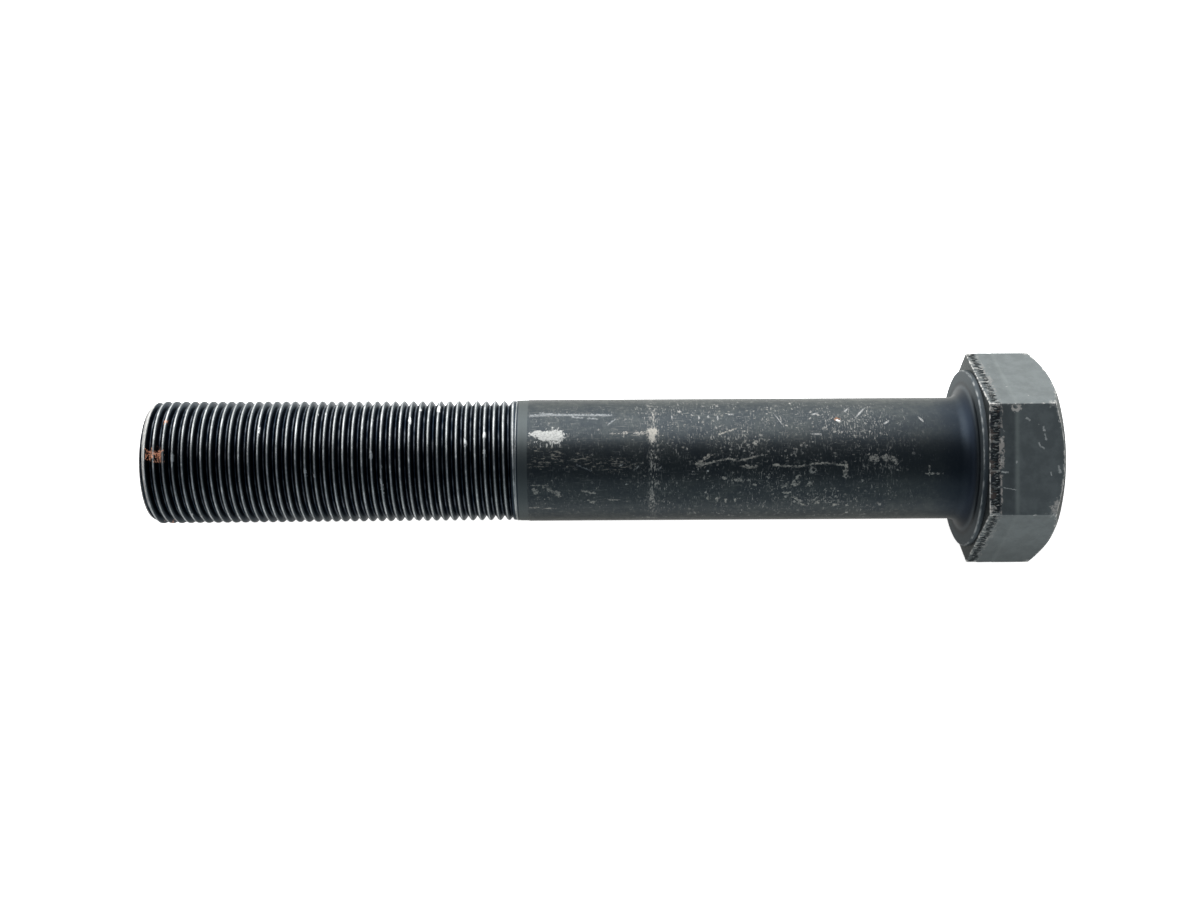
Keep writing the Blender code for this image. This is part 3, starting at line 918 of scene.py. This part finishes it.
def tooth_material(finish):
    """The small torn teeth on the trim band: dark steel with rubbed tips."""
    m = Steel("trim_tooth_steel", finish, mottle=0.5, roughness=0.46)
    rubbed = m.streaks(0.8, 0.25, 0.46, 0.12, 61.0)
    m.layer(rubbed * 0.7, (0.32, 0.315, 0.30), 0.6)
    return m.finish(bump=0.010)


# ---------------------------------------------------------------- geometry nodes


def painted(g, geometry, material):
    """Ends a geometry node tree: Realize Instances, then Set Material."""
    g.tree.is_modifier = True
    realized = g.get("GeometryNodeRealizeInstances", {0: geometry})
    g.give("Geometry", g.get("GeometryNodeSetMaterial", {"Geometry": realized, "Material": material}))
    return g.tree


def helical_thread_tree(material):
    """A right-hand helical thread: one outline swept round the axis as it moves along.

    It is trimmed by the end chamfer and runs out at the shoulder.
    """
    inputs = {
        "Start": 0.0,
        "Pitch": 0.0015,
        "Turns": 44,
        "Steps per Turn": 80,
        "Root Radius": 0.009,
        "Crest Radius End": 0.01,
        "Crest Radius Shoulder": 0.0098,
        "End Face": 0.0,
        "Shoulder": 0.06,
        "End Face Radius": 0.0088,
        "Chamfer Length": 0.0019,
        "Axis Height": 0.015,
        "Crest Unevenness": 0.00004,
        "Nick Depth": 0.00016,
        "Seed": 3.0,
    }
    g = Group("helical_thread", inputs, {"Geometry": "Geometry"}, "GeometryNodeTree")
    given = g.given
    samples = 16  # per pitch, so that every bend of the outline has a row of its own
    columns = given["Turns"] * given["Steps per Turn"] + 1.0
    sides = {"Size X": 1.0, "Size Y": 1.0, "Vertices X": columns, "Vertices Y": samples + 1}
    grid = g.get("GeometryNodeMeshGrid", sides, "Mesh")
    x, y, _ = g.split(g.get("GeometryNodeInputPosition"))
    turn = (x + 0.5) * given["Turns"]
    share = y + 0.5

    # Place along the bolt, held between the end face and the shoulder.
    free = given["Start"] + (turn + share) * given["Pitch"]
    along = g.math("MINIMUM", g.math("MAXIMUM", free, given["End Face"]), given["Shoulder"])
    inside = g.math("GREATER_THAN", free, given["End Face"]) * g.math("LESS_THAN", free, given["Shoulder"])
    angle = turn * (2 * math.pi)
    cosine, sine = g.math("COSINE", angle), g.math("SINE", angle)
    nominal_radius = 10.0
    on_cylinder = g.join(along / MM, cosine * nominal_radius, sine * nominal_radius)

    # The outline: narrow root and crest, and flanks that bulge a little.
    off_crest = abs(share - 0.5)
    rise = g.math("DIVIDE", 7 / 16 - off_crest, 6 / 16, clamp=True)
    height = 1.0 - g.math("POWER", 1.0 - rise, 1.3)

    # The groove gets shallow just before the shoulder.
    runout = g.ramp(given["Shoulder"] - along, 0.60 * MM, 1.05 * MM)
    uneven = g.noise(on_cylinder, 0.5, 3.0, 0.6, given["Seed"])
    nicked = g.ramp(g.noise(on_cylinder, 0.62, 2.0, 0.5, given["Seed"] + 20.0), 0.68, 0.74)
    share_along = g.ramp(along, given["End Face"], given["Shoulder"], shape="LINEAR")
    crest = g.mix(share_along, given["Crest Radius End"], given["Crest Radius Shoulder"])
    crest = crest + (uneven - 0.5) * given["Crest Unevenness"] - nicked * given["Nick Depth"]
    root = g.mix(runout, crest - 0.04 * MM, given["Root Radius"])
    # Past either end every point closes onto one circle.
    radius = g.mix(g.mix(inside, 1.0, height), root, crest)

    # The end chamfer trims the crests.
    slope = (given["Crest Radius End"] - given["End Face Radius"]) / given["Chamfer Length"]
    cone = given["End Face Radius"] + (along - given["End Face"]) * slope
    radius = g.math("MINIMUM", radius, cone)
    place = g.join(along, radius * cosine, radius * sine + given["Axis Height"])

    stored = {"Geometry": grid, "Name": "thread_height", "Value": height}
    marked = g.get("GeometryNodeStoreNamedAttribute", stored, data_type="FLOAT", domain="POINT")
    moved = g.get("GeometryNodeSetPosition", {"Geometry": marked, "Position": place})
    merged = g.get("GeometryNodeMergeByDistance", {"Geometry": moved, "Distance": 0.002 * MM})
    return painted(g, merged, material)


def trim_teeth_tree(material):
    """Rows of small torn ridges along the six flats, just above the hexagon's base."""
    inputs = {
        "Count per Flat": 30,
        "Flat Width": 0.0165,
        "Flat Distance": 0.015,
        "Base": 0.061,
        "Band": 0.0018,
        "Tooth Width": 0.00026,
        "Tooth Height": 0.00010,
        "Axis Height": 0.015,
        "Seed": 7,
    }
    g = Group("trim_teeth", inputs, {"Geometry": "Geometry"}, "GeometryNodeTree")
    given = g.given
    half = given["Flat Width"] / 2.0
    middle = given["Base"] + given["Band"] * 0.52
    ends = {
        "Count": given["Count per Flat"],
        "Start Location": g.join(middle, half * -1.0, given["Flat Distance"]),
        "Offset": g.join(middle, half, given["Flat Distance"]),
    }
    line = g.get("GeometryNodeMeshLine", ends, "Mesh", mode="END_POINTS")

    def scatter(low, high, seed):
        limits = {2: low, 3: high, "Seed": given["Seed"] + float(seed)}
        return g.get("FunctionNodeRandomValue", limits, 1, data_type="FLOAT")

    rows = g.add("GeometryNodeJoinGeometry")
    for index in range(6):
        seed = 10 * index
        shift = g.join(
            scatter(-0.16, 0.22, seed + 1) * given["Band"],
            scatter(-0.3, 0.3, seed + 2) * given["Tooth Width"],
            0.0,
        )
        shifted = g.get("GeometryNodeSetPosition", {"Geometry": line, "Offset": shift})
        cone = {"Vertices": 6, "Radius Top": 0.5, "Radius Bottom": 1.0, "Depth": 1.0}
        tooth = g.get("GeometryNodeMeshCone", cone, "Mesh")
        size = g.join(
            given["Band"] * scatter(0.22, 0.42, seed + 3),
            given["Tooth Width"] * scatter(0.35, 0.62, seed + 4),
            given["Tooth Height"] * scatter(0.5, 1.3, seed + 5),
        )
        lean = g.join(0.0, 0.0, scatter(-0.22, 0.22, seed + 6))
        setting = {"Points": shifted, "Instance": tooth, "Scale": size, "Rotation": lean}
        copies = g.get("GeometryNodeInstanceOnPoints", setting)
        turn = {"Geometry": copies, "Rotation": (SIXTH * index, 0.0, 0.0)}
        g.put(rows.inputs[0], g.get("GeometryNodeTransform", turn))
    lift = {"Geometry": Value(g, rows.outputs[0]), "Translation": g.join(0.0, 0.0, given["Axis Height"])}
    return painted(g, g.get("GeometryNodeTransform", lift), material)


def grown(name, tree, values):
    """Runs a geometry node tree with the named values and returns its result as a plain object."""
    obj = bpy.data.objects.new(name, bpy.data.meshes.new(name))
    bpy.context.scene.collection.objects.link(obj)
    modifier = obj.modifiers.new(tree.name, "NODES")
    modifier.node_group = tree
    for item in tree.interface.items_tree:
        if item.item_type == "SOCKET" and item.in_out == "INPUT" and item.name in values:
            modifier[item.identifier] = values[item.name]
    graph = bpy.context.evaluated_depsgraph_get()
    graph.update()
    mesh = bpy.data.meshes.new_from_object(obj.evaluated_get(graph))
    if not mesh.polygons:
        raise RuntimeError(f"{name} came out empty")
    empty = obj.data
    obj.modifiers.clear()
    obj.data = mesh
    mesh.name = name
    bpy.data.meshes.remove(empty)
    mesh.shade_smooth()
    return obj


# ---------------------------------------------------------------- meshes


def mesh_object(bm, name, material, sharp=40):
    """A smooth-shaded object with sharp edges where faces meet at more than sharp degrees."""
    bmesh.ops.recalc_face_normals(bm, faces=bm.faces[:])
    mesh = bpy.data.meshes.new(name)
    bm.to_mesh(mesh)
    bm.free()
    obj = bpy.data.objects.new(name, mesh)
    bpy.context.scene.collection.objects.link(obj)
    mesh.materials.append(material)
    mesh.shade_smooth()
    mesh.set_sharp_from_angle(angle=math.radians(sharp))
    return obj


def rings_to_mesh(bm, rings):
    """Joins rings of the same number of points into quads and closes both ends to a point."""
    rows = [[bm.verts.new(p) for p in ring] for ring in rings]
    count = len(rows[0])
    for lower, upper in zip(rows, rows[1:]):
        for i in range(count):
            j = (i + 1) % count
            bm.faces.new((lower[i], lower[j], upper[j], upper[i]))
    for row in (rows[0], rows[-1]):
        centre = [sum(v.co[k] for v in row) / count for k in range(3)]
        pole = bm.verts.new(centre)
        for i in range(count):
            bm.faces.new((row[i], row[(i + 1) % count], pole))


def circle(x, radius, count):
    turns = [2 * math.pi * i / count for i in range(count)]
    return [(x, radius * math.sin(a), AXIS_HEIGHT + radius * math.cos(a)) for a in turns]


def arc(centre_x, centre_r, radius, start, end, steps):
    """Outline points (x, r) on an arc, angles in degrees from +X towards +r."""
    points = []
    for i in range(steps + 1):
        a = math.radians(start + (end - start) * i / steps)
        points.append((centre_x + radius * math.cos(a), centre_r + radius * math.sin(a)))
    return points


def hexagon_outline(distance, corner_round, per_flat=26, per_corner=5):
    """Points (y, z) round a hexagon with rounded corners, flats at the top and bottom."""
    points = []
    reach = (distance - corner_round) * math.tan(SIXTH / 2)
    inner = distance - corner_round
    for side in range(6):
        a = SIXTH * side
        out = (math.sin(a), math.cos(a))
        along = (math.cos(a), -math.sin(a))
        for i in range(per_flat + 1):
            t = i / per_flat * 2 - 1
            t = 0.65 * t + 0.35 * math.sin(t * math.pi / 2)  # closer together near the corners
            points.append(
                (out[0] * distance + along[0] * reach * t, out[1] * distance + along[1] * reach * t)
            )
        centre = (out[0] * inner + along[0] * reach, out[1] * inner + along[1] * reach)
        for i in range(1, per_corner):
            b = a + SIXTH * i / per_corner
            points.append((centre[0] + corner_round * math.sin(b), centre[1] + corner_round * math.cos(b)))
    return points


def head_rings(sizes):
    """Rings of the hexagon head from inside its base, up the flats and over the chamfer to the top."""
    base = HEAD_TOP - sizes.head_height + sizes.washer_face_height
    top_radius = sizes.head_top_radius
    band, step = sizes.trim_band / MM, sizes.trim_step / MM
    # How far each ring is above the base and how far inside the flat, in millimetres.
    levels = [(0.0, 2.0), (0.0, 0.35), (0.02, 0.16), (0.08, 0.09), (0.18, 0.05), (0.45, 0.04), (0.9, 0.05)]
    levels += [(1.35, 0.05), (band - 0.15, 0.04), (band + 0.1, 0.0), (band + 0.6, 0.0), (3.2, 0.012)]
    levels += [(step - 0.12, 0.02), (step + 0.06, -0.01), (step + 0.3, 0.0)]
    rings = []
    for rise, inset in levels:
        outline = hexagon_outline(ACROSS_FLATS / 2 - inset * MM, sizes.corner_round)
        rings.append([(base + rise * MM, y, AXIS_HEIGHT + z) for y, z in outline])

    full = hexagon_outline(ACROSS_FLATS / 2, sizes.corner_round)
    reaches = [math.hypot(y, z) for y, z in full]

    def ring(places):
        """A ring of points, each given as x and its distance from the axis."""
        turned = zip(places, full, reaches)
        return [(x, y * r / far, AXIS_HEIGHT + z * r / far) for (x, r), (y, z), far in turned]

    def on_cone(r):
        return HEAD_TOP - (r - top_radius) * CHAMFER_SLOPE

    start = base + levels[-1][0] * MM
    for share in (0.2, 0.42, 0.64, 0.82, 0.93):
        rings.append(ring([(start + (on_cone(r) - 0.25 * MM - start) * share, r) for r in reaches]))
    for before in (0.25, 0.12):
        rings.append(ring([(on_cone(r) - before * MM, r) for r in reaches]))
    # Over the rounded edge and up the cone.
    for inward, drop in ((0.025, 0.045), (0.09, 0.015), (0.2, 0.0)):
        inside = [r - inward * MM for r in reaches]
        rings.append(ring([(on_cone(r) - drop * MM, r) for r in inside]))
    for share in (0.35, 0.7, 0.93):
        inside = [r - 0.2 * MM + (top_radius - r + 0.2 * MM) * share for r in reaches]
        rings.append(ring([(on_cone(r), r) for r in inside]))
    # The flat top, very slightly dished.
    rounded = top_radius / MM
    for radius, drop in ((rounded - 0.12, 0.02), (rounded - 0.4, 0.0), (11, 0.0), (7, 0.01), (3, 0.015)):
        rings.append(ring([(HEAD_TOP - drop * MM, radius * MM)] * len(full)))
    return rings


def shank_outline(sizes):
    """Outline (x, r) of the turned body, from inside the head down to the shoulder."""
    bearing = HEAD_TOP - sizes.head_height
    hex_base = bearing + sizes.washer_face_height
    shoulder = END_FACE + sizes.thread_length
    ring_end = shoulder + sizes.shoulder_ring
    r, fillet, washer = sizes.shank_radius, sizes.fillet_radius, sizes.washer_face_radius
    rim = 0.22 * MM
    points = [(hex_base + 1.5 * MM, washer - 1.0 * MM), (hex_base + 0.6 * MM, washer)]
    points += [(hex_base + 0.1 * MM, washer)]
    points += arc(bearing + rim, washer - rim, rim, 90, 180, 5)
    points += [(bearing, washer - 0.6 * MM), (bearing, r + fillet + 0.25 * MM)]
    points += arc(bearing - fillet, r + fillet, fillet, 0, -90, 16)
    plain_start, plain_end, steps = bearing - fillet, ring_end + 0.12 * MM, 46
    points += [(plain_start + (plain_end - plain_start) * i / steps, r) for i in range(1, steps + 1)]
    points += [(ring_end + 0.02 * MM, r - 0.02 * MM), (ring_end - 0.12 * MM, r - 0.06 * MM)]
    # The smooth ring and the narrow groove beside the lip: distance past the shoulder, depth.
    profile = [(0.9, 0.07), (0.42, 0.08), (0.30, 0.13), (0.20, 0.13), (0.09, 0.06), (0.02, 0.07)]
    profile += [(-0.05, 0.13), (-0.06, 0.40), (-0.06, 1.4)]
    return points + [(shoulder + past * MM, r - depth * MM) for past, depth in profile]


# ---------------------------------------------------------------- operators


def settings(context):
    return context.scene.hex_bolt_sizes, context.scene.hex_bolt_finish


def settle(obj):
    """Parents a finished piece to the bolt's root body, so that it rides on the bolt."""
    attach(obj, "root")


class HEXBOLT_OT_thread(bpy.types.Operator):
    """Adds the rolled thread with its end face and chamfer"""

    bl_idname = "hexbolt.add_thread"
    bl_label = "Add thread"

    def execute(self, context):
        sizes, finish = settings(context)
        pitch = sizes.thread_pitch
        # The first crest crosses the top line 0.965 mm from the end face.
        first_crest = 0.965 * MM
        start = END_FACE + first_crest - 2.75 * pitch
        shoulder = END_FACE + sizes.thread_length
        values = {
            "Start": start,
            "Pitch": pitch,
            "Turns": math.ceil((shoulder + 2 * pitch - start) / pitch),
            "Steps per Turn": 80,
            "Root Radius": sizes.root_radius,
            "Crest Radius End": sizes.crest_radius_end,
            "Crest Radius Shoulder": sizes.crest_radius_shoulder,
            "End Face": END_FACE,
            "Shoulder": shoulder + 0.02 * MM,
            "End Face Radius": sizes.end_face_radius,
            "Chamfer Length": sizes.end_chamfer,
            "Axis Height": AXIS_HEIGHT,
            "Crest Unevenness": 0.06 * MM,
            "Nick Depth": 0.16 * MM,
            "Seed": 3.0,
        }
        obj = grown("thread", helical_thread_tree(thread_material(sizes, finish)), values)
        self.close_ends(obj.data)
        obj.data.shade_smooth()
        settle(obj)
        return {"FINISHED"}

    def close_ends(self, mesh):
        """Closes the threaded end with a slightly dished face, and the hidden end inside the shoulder."""
        bm = bmesh.new()
        bm.from_mesh(mesh)
        bmesh.ops.remove_doubles(bm, verts=bm.verts[:], dist=0.002 * MM)
        bmesh.ops.dissolve_degenerate(bm, edges=bm.edges[:], dist=0.001 * MM)
        for inward in (1, -1):
            at_end_face = inward == 1
            rim = [e for e in bm.edges if e.is_boundary]
            loop = [e for e in rim if (e.verts[0].co.x < END_FACE + MM) == at_end_face]
            for factor, shift in ((0.985, 0.0), (0.96, 0.06), (0.55, 0.02), (0.2, 0.01)):
                made = bmesh.ops.extrude_edge_only(bm, edges=loop)["geom"]
                loop = [e for e in made if isinstance(e, bmesh.types.BMEdge) and e.is_boundary]
                for v in [v for v in made if isinstance(v, bmesh.types.BMVert)]:
                    height = AXIS_HEIGHT + (v.co.z - AXIS_HEIGHT) * factor
                    v.co = (v.co.x + inward * shift * MM, v.co.y * factor, height)
            bmesh.ops.contextual_create(bm, geom=loop)
        bmesh.ops.recalc_face_normals(bm, faces=bm.faces[:])
        bm.to_mesh(mesh)
        bm.free()


class HEXBOLT_OT_shank(bpy.types.Operator):
    """Adds the plain shank with the shoulder ring, the fillet and the washer face"""

    bl_idname = "hexbolt.add_shank"
    bl_label = "Add shank"

    def execute(self, context):
        sizes, finish = settings(context)
        bm = bmesh.new()
        rings_to_mesh(bm, [circle(x, r, 160) for x, r in shank_outline(sizes)])
        settle(mesh_object(bm, "shank", shank_material(sizes, finish)))
        return {"FINISHED"}


class HEXBOLT_OT_head(bpy.types.Operator):
    """Adds the hexagon head with its chamfer, trim band and torn teeth"""

    bl_idname = "hexbolt.add_head"
    bl_label = "Add head"

    def execute(self, context):
        sizes, finish = settings(context)
        bm = bmesh.new()
        rings_to_mesh(bm, head_rings(sizes))
        settle(mesh_object(bm, "head", head_material(sizes, finish)))
        values = {
            "Count per Flat": 38,
            "Flat Width": HALF_SIDE * 2 - 0.9 * MM,
            "Flat Distance": ACROSS_FLATS / 2 - 0.05 * MM,
            "Base": HEAD_TOP - sizes.head_height + sizes.washer_face_height,
            "Band": sizes.trim_band,
            "Tooth Width": 0.36 * MM,
            "Tooth Height": 0.09 * MM,
            "Axis Height": AXIS_HEIGHT,
            "Seed": finish.seed,
        }
        settle(grown("trim_teeth", trim_teeth_tree(tooth_material(finish)), values))
        return {"FINISHED"}


class HEXBOLT_OT_stage(bpy.types.Operator):
    """Adds the pale floor, the soft lights and the camera"""

    bl_idname = "hexbolt.add_stage"
    bl_label = "Add stage"

    def execute(self, context):
        self.floor(context.scene)
        world = bpy.data.worlds.new("soft_room")
        world.use_nodes = True
        background = world.node_tree.nodes["Background"]
        background.inputs["Color"].default_value = (0.70, 0.86, 1.0, 1.0)
        background.inputs["Strength"].default_value = 0.26
        context.scene.world = world
        # Each light: its place, the point it faces, width, height, brightness and colour.
        white = (1.0, 1.0, 1.0)
        self.light("window", (-0.40, 0.60, 0.38), (-0.40, 0.0, 0.38), 1.10, 0.76, 4.5, white)
        self.light("wall", (0.72, 0.95, 0.35), (0.05, 0.0, 0.10), 0.90, 0.70, 1.5, white)
        self.light("fill", (0.0, -0.60, 0.38), (0.0, 0.0, 0.38), 1.60, 0.76, 0.56, (0.88, 0.98, 1.0))
        self.light("end_wall", (-0.90, 0.10, 0.16), (0.0, 0.10, 0.16), 1.00, 0.32, 0.7, white)
        self.camera(context.scene)
        context.scene.view_settings.view_transform = "Standard"
        return {"FINISHED"}

    def floor(self, scene):
        """A glowing floor whose glow is painted light: brighter towards the window and far from the bolt,
        with painted shade just in front of it.
        """
        bm = bmesh.new()
        bmesh.ops.create_grid(bm, x_segments=1, y_segments=1, size=3.0)
        mesh = bpy.data.meshes.new("floor")
        bm.to_mesh(mesh)
        bm.free()
        floor = bpy.data.objects.new("floor", mesh)
        scene.collection.objects.link(floor)
        material = bpy.data.materials.new("pale_floor")
        material.use_nodes = True
        tree = Tree(material.node_tree)
        sockets = material.node_tree.nodes["Principled BSDF"].inputs
        tree.put(sockets["Base Color"], (0.80, 0.80, 0.80))
        tree.put(sockets["Roughness"], 0.9)
        tree.put(sockets["Specular IOR Level"], 0.1)
        tree.put(sockets["Emission Strength"], 1.0)
        side = tree.split(tree.get("ShaderNodeTexCoord", output="Object"))[1]
        # Painted light and shade: the floor's glow is strongest on the window side and weakest just in front
        # of the bolt.
        far, near_painted_shade, window_painted_light = (1.05, 1.05, 1.05), (0.82, 0.79, 0.77), (2.8, 2.8, 2.8)
        front = tree.blend(tree.ramp(side, -0.070, -0.024), far, near_painted_shade)
        tree.put(sockets["Emission Color"], tree.blend(tree.ramp(side, -0.012, 0.03), front, window_painted_light))
        mesh.materials.append(material)

    def light(self, name, place, target, width, height, brightness, color):
        """A soft panel that faces the target; brightness is that of its surface."""
        data = bpy.data.lights.new(name, "AREA")
        data.shape = "RECTANGLE"
        data.size = width
        data.size_y = height
        data.energy = brightness * math.pi * width * height
        data.color = color
        light = bpy.data.objects.new(name, data)
        light.location = place
        aim = Vector(target) - Vector(place)
        light.rotation_euler = aim.to_track_quat("-Z", "Y").to_euler()
        bpy.context.scene.collection.objects.link(light)

    def camera(self, scene):
        """Looks almost straight down on the bolt."""
        data = bpy.data.cameras.new("camera")
        data.lens = 43.86
        data.sensor_width = 36.0
        data.clip_start = 0.01
        data.clip_end = 20.0
        data.dof.use_dof = False
        camera = bpy.data.objects.new("camera", data)
        camera.location = (-0.00013, 0.00414, 0.25676)
        camera.rotation_euler = [math.radians(a) for a in (-0.593, -0.113, -0.321)]
        scene.collection.objects.link(camera)
        scene.camera = camera


# ---------------------------------------------------------------- panel


class HEXBOLT_PT_panel(bpy.types.Panel):
    """Lists the bolt's sizes, finish and steps"""

    bl_label = "Hex bolt"
    bl_idname = "HEXBOLT_PT_panel"
    bl_space_type = "VIEW_3D"
    bl_region_type = "UI"
    bl_category = "Hex bolt"

    def draw(self, context):
        layout = self.layout
        sizes, finish = settings(context)
        for title, group in (("Sizes", sizes), ("Finish", finish)):
            box = layout.box()
            box.label(text=title)
            for name in group.__annotations__:
                box.prop(group, name)
        for step in STEPS:
            layout.operator(step.bl_idname)


STEPS = (HEXBOLT_OT_thread, HEXBOLT_OT_shank, HEXBOLT_OT_head, HEXBOLT_OT_stage)
CLASSES = (HexBoltSizes, HexBoltFinish) + STEPS + (HEXBOLT_PT_panel,)


def register():
    for cls in CLASSES:
        bpy.utils.register_class(cls)
    bpy.types.Scene.hex_bolt_sizes = PointerProperty(type=HexBoltSizes)
    bpy.types.Scene.hex_bolt_finish = PointerProperty(type=HexBoltFinish)


def unregister():
    del bpy.types.Scene.hex_bolt_sizes
    del bpy.types.Scene.hex_bolt_finish
    for cls in reversed(CLASSES):
        bpy.utils.unregister_class(cls)


def main():
    register()
    bpy.ops.hexbolt.add_stage()
    bpy.ops.hexbolt.add_thread()
    bpy.ops.hexbolt.add_shank()
    bpy.ops.hexbolt.add_head()
    pieces = [bpy.data.objects[name] for name in ("thread", "shank", "head", "trim_teeth")]
    for piece in pieces:
        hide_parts(NODE)


if __name__ == "__main__":
    main()
